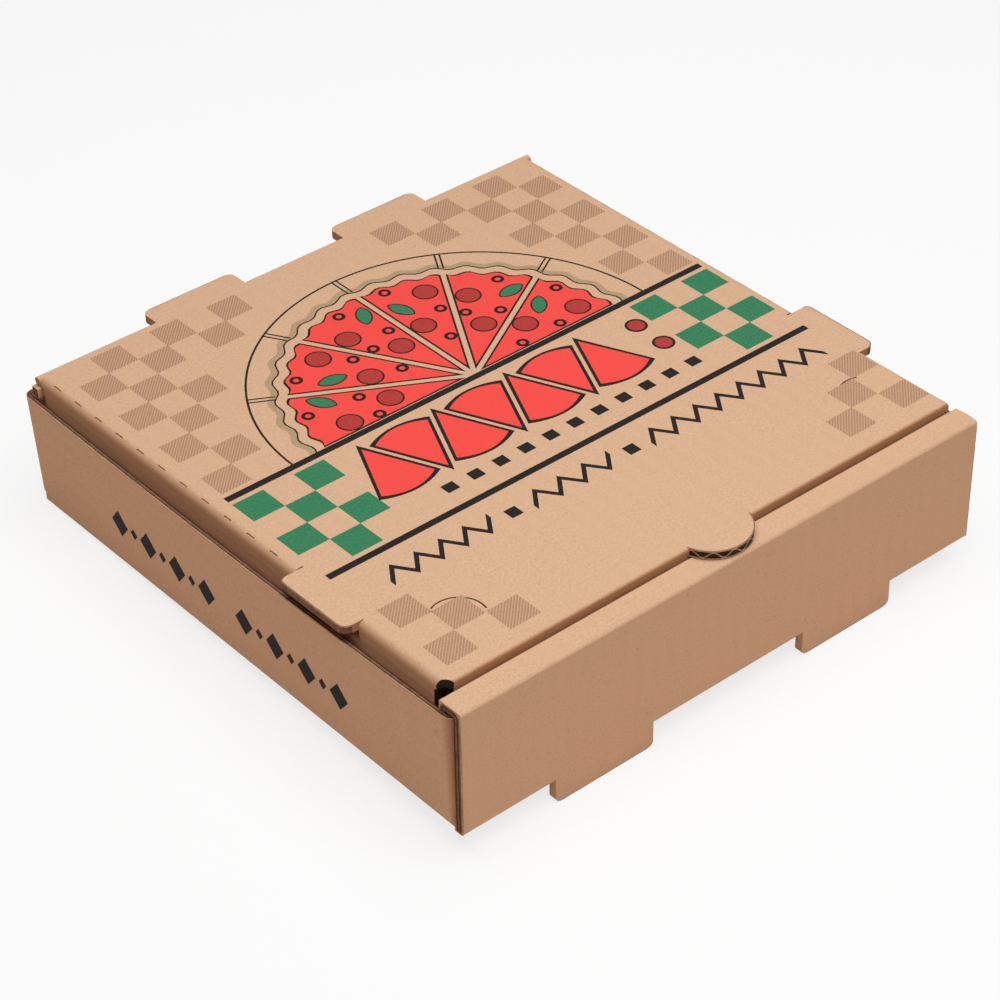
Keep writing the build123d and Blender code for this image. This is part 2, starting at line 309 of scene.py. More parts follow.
def edgeMaterial(name, colour, darker):
    material, nodes, links, shader = nodeMaterial(name, 0.9)
    coords = nodes.new("ShaderNodeTexCoord").outputs["Object"]
    noise = addNode(nodes, "ShaderNodeTexNoise", Scale=700.0, Detail=3.0)
    links.new(coords, noise.inputs["Vector"])
    share = ramp(nodes, links, noise.outputs[0], 0.35, 0.65)
    tone = mixColour(nodes, links, share, shade(*(c * darker for c in colour)), shade(*colour))
    links.new(tone, shader.inputs["Base Color"])
    return material


edgeLooks = {layer: edgeMaterial(*values) for layer, values in paperEdges.items()}

for nodeName, material in (("tray", trayBoard), ("lid", lidBoard)):
    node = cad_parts[nodeName]
    node.data.materials.clear()
    node.data.materials.append(material)
print("materials made")


# Helpers for new pieces
def finishPiece(name, bm, material, body):
    bmesh.ops.recalc_face_normals(bm, faces=bm.faces[:])
    mesh = bpy.data.meshes.new(name)
    bm.to_mesh(mesh)
    bm.free()
    piece = bpy.data.objects.new(name, mesh)
    bpy.context.collection.objects.link(piece)
    mesh.materials.append(material)
    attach(piece, body)
    return piece


# Side walls: foot, ends of the flat part, and lean at the front end, midway and at the rear end
sideWall = {
    "footX": 104.5,
    "frontY": -103.1,
    "rearY": 102.5,
    "leans": (1.7, 4.1, 2.1),
    "leanZ": 12.2,
}


def wallLean(y):
    # how far the side wall's top stands out past its foot, along the wall
    front, bow, rear = sideWall["leans"]
    t = min(max((y - sideWall["frontY"]) / (sideWall["rearY"] - sideWall["frontY"]), 0), 1)
    return front * (1 - t) ** 2 + 2 * bow * t * (1 - t) + rear * t**2


def onLid(u, v):
    return Vector((u, v, box["lidTopZ"]))


def onLeftWall(u, v):
    rise = (v - sideWall["leanZ"]) / (box["wallTopZ"] - sideWall["leanZ"])
    return Vector((-sideWall["footX"] - wallLean(u) * rise, u, v))


wallOut = Vector((-1, 0, 0))

# Layers of ink, a few hundredths of a millimetre high
ink = {"under": -0.05, "first": 0.02, "second": 0.04, "third": 0.06, "fourth": 0.08}


def liftFaces(bm, faces, level, lift):
    # gives flat faces that lie on a surface their thickness
    verts = {v for f in faces for v in f.verts}
    bmesh.ops.translate(bm, verts=list(verts), vec=lift * ink["under"] * mm)
    raised = bmesh.ops.extrude_face_region(bm, geom=faces)["geom"]
    moved = [v for v in raised if isinstance(v, bmesh.types.BMVert)]
    bmesh.ops.translate(bm, verts=moved, vec=lift * (ink[level] - ink["under"]) * mm)


def addShape(bm, points, level, place=onLid, lift=up):
    face = bm.faces.new([bm.verts.new(place(u, v) * mm) for u, v in points])
    liftFaces(bm, [face], level, lift)


def addBand(bm, outer, inner, level, closed=False):
    # band between two outlines with the same number of points
    outside = [bm.verts.new(onLid(u, v) * mm) for u, v in outer]
    inside = [bm.verts.new(onLid(u, v) * mm) for u, v in inner]
    count = len(outside)
    faces = []
    for i in range(count if closed else count - 1):
        j = (i + 1) % count
        faces.append(bm.faces.new([outside[i], outside[j], inside[j], inside[i]]))
    liftFaces(bm, faces, level, up)


def turnPoint(centre, x, y, degrees):
    c, s = math.cos(math.radians(degrees)), math.sin(math.radians(degrees))
    return centre[0] + x * c - y * s, centre[1] + x * s + y * c


def squarePoints(centre, width, height, degrees=0.0):
    corners = ((-0.5, -0.5), (0.5, -0.5), (0.5, 0.5), (-0.5, 0.5))
    return [turnPoint(centre, x * width, y * height, degrees) for x, y in corners]


def lozengePoints(centre, width, height):
    corners = ((-0.5, 0), (0, -0.5), (0.5, 0), (0, 0.5))
    return [(centre[0] + x * width, centre[1] + y * height) for x, y in corners]


def arcPoints(centre, radius, start, end, steps):
    return [turnPoint(centre, radius, 0, start + (end - start) * i / steps) for i in range(steps + 1)]


def roundPoints(centre, radius, count=36):
    return arcPoints(centre, radius, 0, 360 - 360 / count, count - 1)


def zigzag(start, end, values):
    # outlines of a zigzag line from start to end
    level, reach = values["zigzagLevel"], values["zigzagReach"]
    count = max(2, round(abs(end - start) / (values["zigzagPitch"] / 2)))
    step = (end - start) / count
    centre = [(start + i * step, level + (reach if i % 2 else -reach)) for i in range(count + 1)]
    half = values["zigzagWidth"] / 2 * math.hypot(step, 2 * reach) / abs(step)
    return [(x, y + half) for x, y in centre], [(x, y - half) for x, y in centre]


# Print on the lid: green and brown checks
checks = {
    "pitchX": 11.55,
    "pitchY": 10.85,
    "greenCells": ((0, 0), (2, 0), (1, -1), (0, -2), (2, -2), (1, -3)),
    "greenCorners": ((-96.9, -4.85), (64.1, -4.85)),
    "leftBack": (
        (-33.6, 92.6), (-56.0, 93.3), (-44.9, 82.0), (-79.0, 93.3), (-67.4, 82.9), (-90.4, 82.4),
        (-78.9, 71.8), (-67.3, 61.2), (-90.4, 61.1), (-79.0, 50.0), (-90.6, 39.2), (-78.9, 28.4),
        (-90.4, 17.7),
    ),
    "rightBack": (
        (57.5, 92.6), (34.9, 92.8), (46.2, 81.9), (80.3, 92.6), (92.3, 82.0), (68.8, 81.7), (80.4, 71.2),
        (92.4, 60.5), (69.2, 60.5), (80.4, 49.5), (92.5, 38.6), (80.5, 27.8), (92.5, 17.1),
    ),
    "front": (
        (-90.1, -67.0), (-78.9, -77.6), (-66.9, -88.0), (-90.6, -88.3),
        (94.7, -65.4), (83.1, -76.3), (94.9, -87.3), (71.6, -87.1),
    ),
}


def printChecks(values):
    wide, tall = values["pitchX"], values["pitchY"]
    bm = bmesh.new()
    for left, bottom in values["greenCorners"]:
        for i, j in values["greenCells"]:
            centre = (left + (i + 0.5) * wide, bottom + (j + 0.5) * tall)
            addShape(bm, squarePoints(centre, wide, tall), "first")
    finishPiece("print_green_checks", bm, inks["green"], "lid")
    bm = bmesh.new()
    for centre in values["leftBack"] + values["rightBack"] + values["front"]:
        addShape(bm, squarePoints(centre, wide, tall), "first")
    finishPiece("print_brown_checks", bm, inks["check"], "lid")


printChecks(checks)

# Two bars, a row of squares and three zigzags
rules = {
    "left": -97.0,
    "right": 98.8,
    "levels": (9.0, -40.5),
    "width": 2.5,
    "dotLevel": -30.5,
    "dots": (-42.4, -32.3, -22.2, -12.1, -2.0, 8.05, 18.1, 28.2, 38.2, 48.2, 58.2),
    "dotSize": (4.6, 4.2),
    "lowDots": ((-36.3, -52.5, 4.4), (11.5, -52.4, 4.4)),
    "zigzags": ((-84.5, -43.0), (-29.6, 4.8), (18.2, 93.0)),
    "zigzagLevel": -52.0,
    "zigzagReach": 3.3,
    "zigzagPitch": 9.2,
    "zigzagWidth": 1.5,
}


def printRules(values):
    bm = bmesh.new()
    middle, length = (values["left"] + values["right"]) / 2, values["right"] - values["left"]
    for level in values["levels"]:
        addShape(bm, squarePoints((middle, level), length, values["width"]), "fourth")
    for x in values["dots"]:
        addShape(bm, squarePoints((x, values["dotLevel"]), *values["dotSize"]), "first")
    for x, y, size in values["lowDots"]:
        addShape(bm, squarePoints((x, y), size, size), "first")
    for start, end in values["zigzags"]:
        addBand(bm, *zigzag(start, end, values), "first")
    finishPiece("print_rules", bm, inks["black"], "lid")


printRules(rules)

# Row of round-backed wedges between the two bars, tips up and down in turn
wedges = {
    "start": -50.5,
    "spacing": 14.8,
    "count": 7,
    "top": 5.2,
    "bottom": -24.6,
    "halfWidth": 12.0,
    "belly": 3.2,
    "bellySteps": 12,
    "line": 1.1,
    # how much the field draws in for its line: half width, tip and back
    "drawIn": (1.5, 2.6, 0.9),
    "rounds": ((58.5, -3.5, 3.8), (58.5, -16.5, 3.8)),
    "roundLine": 0.9,
}


def wedgePoints(x, values, inset, upwards):
    tip, back = (values["top"], values["bottom"]) if upwards else (values["bottom"], values["top"])
    way = 1 if upwards else -1
    sideIn, tipIn, backIn = (inset * share for share in values["drawIn"])
    half, belly = values["halfWidth"] - sideIn, values["belly"]
    backLevel = back + way * (belly + backIn)
    points = [(x, tip - way * tipIn)]
    for i in range(values["bellySteps"] + 1):
        t = i / values["bellySteps"]
        points.append((x - way * half * (1 - 2 * t), backLevel - way * belly * 4 * t * (1 - t)))
    return points


def printWedges(values):
    outlines, fields, rounds = bmesh.new(), bmesh.new(), bmesh.new()
    for i in range(values["count"]):
        x = values["start"] + i * values["spacing"]
        addShape(outlines, wedgePoints(x, values, 0.0, i % 2 == 0), "first")
        addShape(fields, wedgePoints(x, values, values["line"], i % 2 == 0), "second")
    for x, y, radius in values["rounds"]:
        addShape(outlines, roundPoints((x, y), radius), "first")
        addShape(rounds, roundPoints((x, y), radius - values["roundLine"]), "second")
    finishPiece("print_wedge_lines", outlines, inks["black"], "lid")
    finishPiece("print_wedge_rounds", rounds, inks["darkRed"], "lid")
    finishPiece("print_wedges", fields, inks["red"], "lid")


printWedges(wedges)

# Half round above the upper bar: six slices with rounds, rings and leaves.
# Toppings: distance from the centre and degrees from the slice's middle, and a leaf's lean.
slices = {
    "centre": (1.4, 9.8),
    "rim": 72.8,
    "rimLine": 0.75,
    "rimSteps": 72,
    "crust": 63.5,
    "crustShadow": 2.2,
    "crustLine": 0.55,
    "field": 60.6,
    "wave": 0.9,
    "wavesPerSlice": 3,
    "steps": 18,
    "count": 6,
    "gap": 1.7,
    "line": 0.7,
    "spoke": 0.6,
    "toppings": (
        {
            "rounds": ((51, -6.5), (33, 5.0)),
            "rings": ((56.5, 6.5), (40, -9.0), (23.5, -6.0)),
            "leaves": ((45, 7.0, 35),),
        },
        {
            "rounds": ((46, 7.5), (29, -1.0)),
            "rings": ((56.0, -3.0), (38, -8.0), (36.0, 9.5)),
            "leaves": ((50, -9.0, -40),),
        },
    ),
    "roundSize": 4.5,
    "roundLine": 0.6,
    "ringSize": (2.2, 1.0),
    "leafSize": (9.5, 4.6),
    "leafLine": 0.55,
    "leafPoints": 24,
    "leafBelly": 0.4,
}


def waveAt(values, i):
    return values["wave"] * math.sin(2 * math.pi * values["wavesPerSlice"] * i / values["steps"])


def sliceOutline(values, start, end, inset):
    # one slice with a wavy outer edge, its sides drawn in by the inset
    centre, steps = values["centre"], values["steps"]
    push = inset / math.sin(math.radians((end - start) / 2))
    edge = values["field"] - inset
    trim = math.degrees(math.asin(min(inset / edge, 1)))
    points = [turnPoint(centre, push, 0, (start + end) / 2)]
    for i in range(steps + 1):
        degrees = start + trim + (end - start - 2 * trim) * i / steps
        points.append(turnPoint(centre, edge + waveAt(values, i), 0, degrees))
    return points


def crustEdge(values, start, span, out):
    # wavy line along the crust, moved outwards
    steps = values["steps"]
    return [
        turnPoint(values["centre"], values["crust"] + waveAt(values, i) + out, 0, start + span * i / steps)
        for i in range(steps + 1)
    ]


def leafOutline(values, spot, degrees, grow):
    length, width = (size / 2 + grow for size in values["leafSize"])
    outline = []
    for i in range(values["leafPoints"]):
        t = i / values["leafPoints"] * 2 * math.pi
        belly = math.sin(t) * abs(math.sin(t)) ** values["leafBelly"]
        outline.append(turnPoint(spot, length * math.cos(t), width * belly, degrees))
    return outline


def printToppings(values, kinds, middle, lines, rounds, leaves):
    centre = values["centre"]
    for radius, offset in kinds["rounds"]:
        spot = turnPoint(centre, radius, 0, middle + offset)
        addShape(lines, roundPoints(spot, values["roundSize"]), "third")
        addShape(rounds, roundPoints(spot, values["roundSize"] - values["roundLine"]), "fourth")
    for radius, offset in kinds["rings"]:
        spot = turnPoint(centre, radius, 0, middle + offset)
        outer, inner = (roundPoints(spot, size, 24) for size in values["ringSize"])
        addBand(lines, outer, inner, "third", closed=True)
    for radius, offset, lean in kinds["leaves"]:
        spot = turnPoint(centre, radius, 0, middle + offset)
        addShape(lines, leafOutline(values, spot, middle + lean, values["leafLine"]), "third")
        addShape(leaves, leafOutline(values, spot, middle + lean, 0.0), "fourth")


def printSlices(values):
    centre, rim, gap = values["centre"], values["rim"], values["gap"]
    lines, fields, rounds, leaves, crust = (bmesh.new() for _ in range(5))
    outer, inner = (arcPoints(centre, r, 0, 180, values["rimSteps"]) for r in (rim, rim - values["rimLine"]))
    addBand(lines, outer, inner, "first")
    span = 180 / values["count"]
    for n in range(values["count"]):
        start, end = n * span, (n + 1) * span
        # crust shadow, its edge line and the slice's own line
        inner = crustEdge(values, start, span, 0.0)
        addBand(crust, crustEdge(values, start, span, values["crustShadow"]), inner, "first")
        shrink = 1 - values["crustLine"] / values["crust"]
        innerLine = [tuple(c + (p - c) * shrink for p, c in zip(point, centre)) for point in inner]
        addBand(lines, inner, innerLine, "second")
        addShape(lines, sliceOutline(values, start, end, gap / 2), "first")
        addShape(fields, sliceOutline(values, start, end, gap / 2 + values["line"]), "second")
        printToppings(values, values["toppings"][n % 2], (start + end) / 2, lines, rounds, leaves)
    # pairs of lines across the crust between the slices
    for n in range(1, values["count"]):
        for side in (-1, 1):
            spot = turnPoint(centre, (rim + values["crust"]) / 2, side * gap / 2, n * span)
            addShape(lines, squarePoints(spot, rim - values["crust"], values["spoke"], n * span), "second")
    finishPiece("print_slice_lines", lines, inks["black"], "lid")
    finishPiece("print_slice_fields", fields, inks["red"], "lid")
    finishPiece("print_slice_rounds", rounds, inks["darkRed"], "lid")
    finishPiece("print_slice_leaves", leaves, inks["green"], "lid")
    finishPiece("print_slice_crust", crust, inks["crust"], "lid")


printSlices(slices)

# Ornament on the left wall: two runs of lozenges with a small one between each pair
ornament = {
    "runs": ((57.0, 11.0, 4), (-8.0, -54.0, 4)),
    "level": 25.5,
    "large": (8.6, 10.5),
    "small": (3.6, 4.4),
}


def printOrnament(values):
    bm = bmesh.new()
    for start, end, count in values["runs"]:
        for size, first in (("large", 0), ("small", 0.5)):
            for i in range(count if size == "large" else count - 1):
                y = start + (i + first) * (end - start) / (count - 1)
                points = lozengePoints((y, values["level"]), *values[size])
                addShape(bm, points, "second", onLeftWall, wallOut)
    finishPiece("print_wall_ornament", bm, inks["black"], "tray")


printOrnament(ornament)
print("print laid on lid and wall")


# Cut edges of the board. Open ones show two liners with the fluted sheet between and shadow behind.
# Crushed ones are bands of layer, from, to and rise, with nought midway through the board.
edges = {
    "sunk": -0.2,
    "linerWidth": 0.36,
    "linerRise": 0.10,
    "shadowInset": 0.1,
    "shadowRise": 0.03,
    "mediumWidth": 0.38,
    "mediumRise": 0.09,
    "waveReach": 0.95,
    "wavePoints": 8,
    "panelEnd": (
        ("shadows", -1.5, 1.4, 0.03), ("liners", 1.05, 1.5, 0.10),
        ("pressed", 0.35, 1.05, 0.07), ("pressed", -0.95, -0.05, 0.07),
    ),
    "wallTop": (("shadows", -0.95, 0.9, 0.03), ("liners", 0.62, 0.95, 0.10), ("pressed", -0.5, 0.2, 0.07)),
    "tongue": (("shadows", -1.5, 1.4, 0.03), ("liners", 1.15, 1.5, 0.10), ("pressed", -1.1, 1.05, 0.07)),
    "shoulder": (("shadows", -1.4, 1.4, 0.03), ("liners", 1.1, 1.5, 0.10), ("pressed", -1.1, 0.5, 0.07)),
    "sideFlapEnd": (("shadows", -1.48, 1.4, 0.03),),
    "frontFlapEnd": (("shadows", -1.48, 1.48, 0.03),),
}


def sweep(bm, path, low, high, near, far):
    # bar with a rectangular section along a path of (point, across, out), capped at both ends
    section = ((low, near), (high, near), (high, far), (low, far))
    point, across, out = path[0]
    face = bm.faces.new([bm.verts.new((point + across * a + out * b) * mm) for a, b in section])
    for newPoint, newAcross, newOut in path[1:]:
        made = bmesh.ops.extrude_face_region(bm, geom=[face])["geom"]
        face = next(g for g in made if isinstance(g, bmesh.types.BMFace))
        for v in face.verts:
            away = v.co / mm - point
            a, b = away.dot(across), away.dot(out)
            v.co = (newPoint + newAcross * a + newOut * b) * mm
        point, across, out = newPoint, newAcross, newOut


def waved(path, reach, pitch):
    # the same path swung from side to side across the board
    dense, travelled = [], 0.0
    for (p, a, o), (q, b, r) in zip(path, path[1:]):
        length = (q - p).length
        steps = max(1, math.ceil(length / (pitch / edges["wavePoints"])))
        for i in range(steps):
            t = i / steps
            across, out = a.lerp(b, t).normalized(), o.lerp(r, t).normalized()
            dense.append((p.lerp(q, t), across, out, travelled + length * t))
        travelled += length
    dense.append((*path[-1], travelled))
    return [(p + a * reach * math.sin(2 * math.pi * s / pitch), a, o) for p, a, o, s in dense]


def dressFluted(layers, path):
    sunk, inset = edges["sunk"], edges["shadowInset"]
    sweep(layers["shadows"], path, inset - halfBoard, halfBoard - inset, sunk, edges["shadowRise"])
    for side in (-1, 1):
        low, high = sorted((side * halfBoard, side * (halfBoard - edges["linerWidth"])))
        sweep(layers["liners"], path, low, high, sunk, edges["linerRise"])
    width = edges["mediumWidth"] / 2
    wave = waved(path, edges["waveReach"], box["flutePitch"])
    sweep(layers["flutes"], wave, -width, width, sunk, edges["mediumRise"])


def dressCrushed(layers, path, bands):
    for name, low, high, rise in bands:
        sweep(layers[name], path, low, high, edges["sunk"], rise)


def straightPath(start, end, across, out, steps=1):
    start, end = Vector(start), Vector(end)
    return [(start.lerp(end, i / steps), Vector(across), Vector(out)) for i in range(steps + 1)]


def bendPath(centre, radius, start, end, first, second, out, steps=10):
    # first and second are the directions at 0 and 90 degrees
    found = []
    for i in range(steps + 1):
        a = math.radians(start + (end - start) * i / steps)
        across = Vector(first) * math.cos(a) + Vector(second) * math.sin(a)
        found.append((Vector(centre) + across * radius, across, Vector(out)))
    return found


def planBend(centre, radius, start, end, side, steps):
    # bend seen from above: 0 degrees looks out to the side, 90 to the rear
    return bendPath(centre, radius, start, end, (side, 0, 0), (0, 1, 0), up, steps)


def boardBend(centre, radius, start, end, side, steps, way=1):
    # the same with the edge looking away from the centre, or towards it
    bend = planBend(centre, radius, start, end, side, steps)
    return [(point, up, across * way) for point, across, out in bend]


def newLayers():
    return {layer: bmesh.new() for layer in edgeLooks}


def finishLayers(layers, body):
    for layer, bm in layers.items():
        finishPiece(f"{body}_edge_{layer}", bm, edgeLooks[layer], body)


lidEdgeValues = {
    "tabCentre": (3.3, -95.45),
    "tabRadius": 13.2,
    "tabArc": (195.0, 345.0),
    "tabSteps": 30,
    "backTongue": (20.7, 56.7, 109.45, 2.5),
    "sideTip": 108.2,
    "sideSpan": (-62.05, -31.85),
    "sideRounds": (3.0, 1.8),
    "sideFlapX": 101.7,
    "sideFlapEnd": -96.05,
    "sideFlapTaper": 5 / 39,
    "sideFlapLean": 4.0,
    "frontFlapX": 99.0,
    "frontFlapY": -98.35,
    "frontFlapLean": 5.5,
    "flapSpan": (54.2, 27.0),
}

# Relief hole at the lid's left front corner, open, with a small fillet in its sharp corner
relief = {
    "centre": (102.9, -100.1),
    "radius": 3.3,
    "arc": (25.9, 90),
    "front": -98.66,
    "foldPress": 1.2,
    "flutesAndShadow": (-1.45, 1.47, 0.05),
    "flutesAndShadowDrop": 0.04,
    "foldEndY": (-99.72, -98.48),
    "foldEndZ": (54.3, 57.38),
    "foldEndRise": 0.04,
    "filletSpan": (-98.6, -99.75),
    "filletReach": (-98.95, -99.95),
    "filletHeight": (-1.45, 1.49),
    "filletTaper": 0.94,
    "filletDrop": 0.01,
    "filletFace": (-0.744, -0.669, 0),
    "filletGap": 0.06,
}


def sideFoldTop(x):
    # height of the lid's top face, which rounds down into the side folds
    past = max(abs(x) - box["lidHalf"] + box["foldRadius"], 0)
    return math.sqrt(max(box["foldRadius"] ** 2 - past**2, 0)) + box["lidTopZ"] - box["foldRadius"]


def frontFoldTop(y, hole):
    # the same into the front fold, which is pressed sharper
    past = max(hole["front"] - y, 0)
    return math.sqrt(max(hole["foldPress"] ** 2 - past**2, 0)) + box["lidTopZ"] - hole["foldPress"]


def roundReliefCorner(hole, middle):
    bm = bmesh.new()
    rear, front = hole["filletSpan"]
    inner, outer = hole["filletReach"]
    path = straightPath((inner, rear, middle), (inner, front, middle), up, (-1, 0, 0), 8)
    sweep(bm, path, *hole["filletHeight"], 0.0, inner - outer)
    for v in bm.verts:
        y = v.co.y / mm
        width = (inner - outer) * (1 - hole["filletTaper"] * (rear - y) / (rear - front))
        v.co.x = max(v.co.x, (inner - width) * mm)
        v.co.z = min(v.co.z, (frontFoldTop(y, hole) - hole["filletDrop"]) * mm)
    finishPiece("lid_relief_corner", bm, lidBoard, "lid")


def reliefFlutesAndShadow(hole, flapX, middle):
    # dark sheet on the hole's cut faces: the open flutes' dark and painted shadow of the deep hole, cut down
    # to the rounds of the folds
    bm = bmesh.new()
    x, y = hole["centre"]
    low, high, rise = hole["flutesAndShadow"]
    start = Vector((hole["filletReach"][0] - hole["filletGap"], hole["filletSpan"][1], middle))
    path = [(start, up, Vector(hole["filletFace"]))]
    path += boardBend((-x, y, middle), hole["radius"], *hole["arc"], 1, 14, -1)
    sweep(bm, path, low, high, edges["sunk"], rise)
    # end of the front fold, in the hole
    front, rear = hole["foldEndY"]
    y, half = (front + rear) / 2, (rear - front) / 2
    ends = [(-flapX, y, z) for z in hole["foldEndZ"]]
    path = straightPath(*ends, (0, -1, 0), (-1, 0, 0))
    sweep(bm, path, -half, half, edges["sunk"], hole["foldEndRise"])
    for v in bm.verts:
        top = min(sideFoldTop(v.co.x / mm), frontFoldTop(v.co.y / mm, hole))
        v.co.z = min(v.co.z, (top - hole["flutesAndShadowDrop"]) * mm)
    finishPiece("lid_relief_flutes_and_shadow", bm, edgeLooks["shadows"], "lid")


def sideTonguePath(values, side, middle):
    # front round, outer edge and rear round
    front, rear = values["sideSpan"]
    frontRound, rearRound = values["sideRounds"]
    centre = (side * (values["sideTip"] - frontRound), front + frontRound, middle)
    path = boardBend(centre, frontRound, -90, 0, side, 6)
    centre = (side * (values["sideTip"] - rearRound), rear - rearRound, middle)
    return path + boardBend(centre, rearRound, 0, 90, side, 6)


def dressFlapEnds(layers, values, side, middle):
    # front end of the side flap and side end of the front flap
    lean, taper = math.tan(math.radians(values["sideFlapLean"])), values["sideFlapTaper"]
    ends = []
    for z in values["flapSpan"]:
        x = side * (values["sideFlapX"] - (middle - z) * lean)
        ends.append((x, values["sideFlapEnd"] + (box["lidUnderZ"] - z) * taper, z))
    ahead = Vector((0, -1, -taper)).normalized()
    dressCrushed(layers, straightPath(*ends, (side, 0, 0), ahead), edges["sideFlapEnd"])
    lean = math.tan(math.radians(values["frontFlapLean"]))
    x = side * values["frontFlapX"]
    ends = [(x, values["frontFlapY"] + (middle - z) * lean, z) for z in values["flapSpan"]]
    dressCrushed(layers, straightPath(*ends, (0, -1, 0), (side, 0, 0)), edges["frontFlapEnd"])


def lidEdges(values, hole):
    layers = newLayers()
    middle = box["lidTopZ"] - halfBoard
    centre = (*values["tabCentre"], middle)
    tab = boardBend(centre, values["tabRadius"], *values["tabArc"], 1, values["tabSteps"])
    dressFluted(layers, tab)
    inner, outer, tipY, tipRound = values["backTongue"]
    for side in (-1, 1):
        ends = [(side * x, tipY, middle) for x in (inner + tipRound, outer - tipRound)]
        dressFluted(layers, straightPath(*ends, up, (0, 1, 0)))
        dressCrushed(layers, sideTonguePath(values, side, middle), edges["tongue"])
        dressFlapEnds(layers, values, side, middle)
    roundReliefCorner(hole, middle)
    reliefFlutesAndShadow(hole, values["frontFlapX"], middle)
    finishLayers(layers, "lid")


lidEdges(lidEdgeValues, relief)

# Punched bit still in the right-hand relief hole, which leaves that corner of the lid whole
reliefBit = {
    "start": 98.8,
    "end": 103.15,
    "steps": 24,
    "frontY": -99.84,
    "cornerX": 101.5,
    "cornerRound": 1.7,
    "pressed": 0.9,
    # most of the height that the press may take, and the share at its middle point
    "pressShares": (0.6, 0.3),
    "underZ": 54.45,
    "overlap": 0.1,
    "drop": 0.01,
}


def fillRelief(values, hole):
    bm = bmesh.new()
    cx, cy = hole["centre"]
    most, midway = values["pressShares"]
    cornerRound = values["cornerRound"]
    section, corners = None, []
    for i in range(values["steps"] + 1):
        x = values["start"] + (values["end"] - values["start"]) * i / values["steps"]
        past = max(x - values["cornerX"], 0)
        front = values["frontY"] + cornerRound - math.sqrt(cornerRound**2 - past**2)
        reach = max(hole["radius"] ** 2 - (cx - x) ** 2, 0)
        rear = max(cy + math.sqrt(reach), hole["front"]) + values["overlap"]
        low, high = values["underZ"], sideFoldTop(x) - values["drop"]
        press = min(values["pressed"], (high - low) * most)
        outline = (
            (rear, low), (rear, high), (front + press, high),
            (front + press * midway, high - press * midway), (front, high - press), (front, low),
        )
        places = [Vector((x, y, z)) * mm for y, z in outline]
        if section is None:
            section = bm.faces.new([bm.verts.new(place) for place in places])
        else:
            made = bmesh.ops.extrude_face_region(bm, geom=[section])["geom"]
            section = next(g for g in made if isinstance(g, bmesh.types.BMFace))
            for v in section.verts:
                nearest = min(range(len(corners)), key=lambda n: (corners[n] - v.co).length)
                v.co = places[nearest]
        corners = places
    finishPiece("lid_relief_bit", bm, lidBoard, "lid")


fillRelief(reliefBit, relief)

trayEdgeValues = {
    "bend": 3.2,
    "cutEdge": 1.9,
    "frontTurn": -75,
    "wallSteps": 24,
    "rearFlapTip": 61.5,
    "panelX": 104.9,
    "panelLow": 9.0,
    "innerMiddleY": -101.65,
    "innerLow": 50.75,
    "pressedBend": 1.1,
    "shoulderZ": (50.9, 53.9),
    "footX": (33.5, 67.6),
}


def wallTopPath(values, side):
    # top edge of the side wall, round both corners and along the rear flap
    footX, frontY, rearY = sideWall["footX"], sideWall["frontY"], sideWall["rearY"]
    z, radius, steps = box["wallTopZ"], values["bend"] - values["cutEdge"] / 2, values["wallSteps"]
    centre = (side * (footX + wallLean(frontY) - values["bend"]), frontY, z)
    path = planBend(centre, radius, values["frontTurn"], 0, side, 6)[:-1]
    for i in range(steps + 1):
        y = frontY + (rearY - frontY) * i / steps
        x = side * (footX + wallLean(y) - values["cutEdge"] / 2)
        path.append((Vector((x, y, z)), Vector((side, 0, 0)), up))
    centre = (side * (footX + wallLean(rearY) - values["bend"]), rearY, z)
    path += planBend(centre, radius, 0, 90, side, 8)[1:]
    path.append((Vector((side * values["rearFlapTip"], rearY + radius, z)), Vector((0, 1, 0)), up))
    return path


def panelEndPath(values, side):
    # end of the front panel, over the top and round the strip's second fold
    out, x, bend = Vector((side, 0, 0)), side * values["panelX"], values["pressedBend"]
    front, rear = box["frontY"] + halfBoard, values["innerMiddleY"]
    high = box["stripTopZ"] - halfBoard - bend
    path = [(Vector((x, front, values["panelLow"])), Vector((0, -1, 0)), out)]
    path += bendPath((x, front + bend, high), bend, 0, 90, (0, -1, 0), up, out)
    path += bendPath((x, rear - bend, high), bend, 90, 0, (0, 1, 0), up, out)
    path.append((Vector((x, rear, values["innerLow"])), Vector((0, 1, 0)), out))
    return path


def trayEdges(values):
    layers = newLayers()
    for side in (-1, 1):
        dressCrushed(layers, wallTopPath(values, side), edges["wallTop"])
        dressCrushed(layers, panelEndPath(values, side), edges["panelEnd"])
        # end of the back wall's shoulder
        ends = [(side * sideWall["footX"], box["backY"] - halfBoard, z) for z in values["shoulderZ"]]
        dressCrushed(layers, straightPath(*ends, (0, 1, 0), (side, 0, 0)), edges["shoulder"])
        # underside of the foot
        ends = [(side * x, box["frontY"] + halfBoard, 0.0) for x in values["footX"]]
        dressFluted(layers, straightPath(*ends, (0, 1, 0), (0, 0, -1)))
    finishLayers(layers, "tray")


trayEdges(trayEdgeValues)
print("cut edges dressed")

# Folds pressed sharper than the board's own round.
# Each: corner, the two directions in from it, direction along, where it starts and ends, and its round.
stripSpan, wallSpan = (-104.85, 104.85), (-106.3, 102.5)
pressedFolds = {
    "proud": 0.02,
    "sink": 0.25,
    "folds": (
        ((0, box["frontY"], box["stripTopZ"]), (0, 1, 0), (0, 0, -1), (1, 0, 0), stripSpan, 1.2),
        ((0, -100.15, box["stripTopZ"]), (0, 0, -1), (0, -1, 0), (1, 0, 0), stripSpan, 0.6),
        ((-sideWall["footX"], 0, box["baseZ"]), (0, 0, 1), (1, 0, 0), (0, 1, 0), wallSpan, 1.2),
        ((sideWall["footX"], 0, box["baseZ"]), (-1, 0, 0), (0, 0, 1), (0, 1, 0), wallSpan, 1.2),
    ),
}


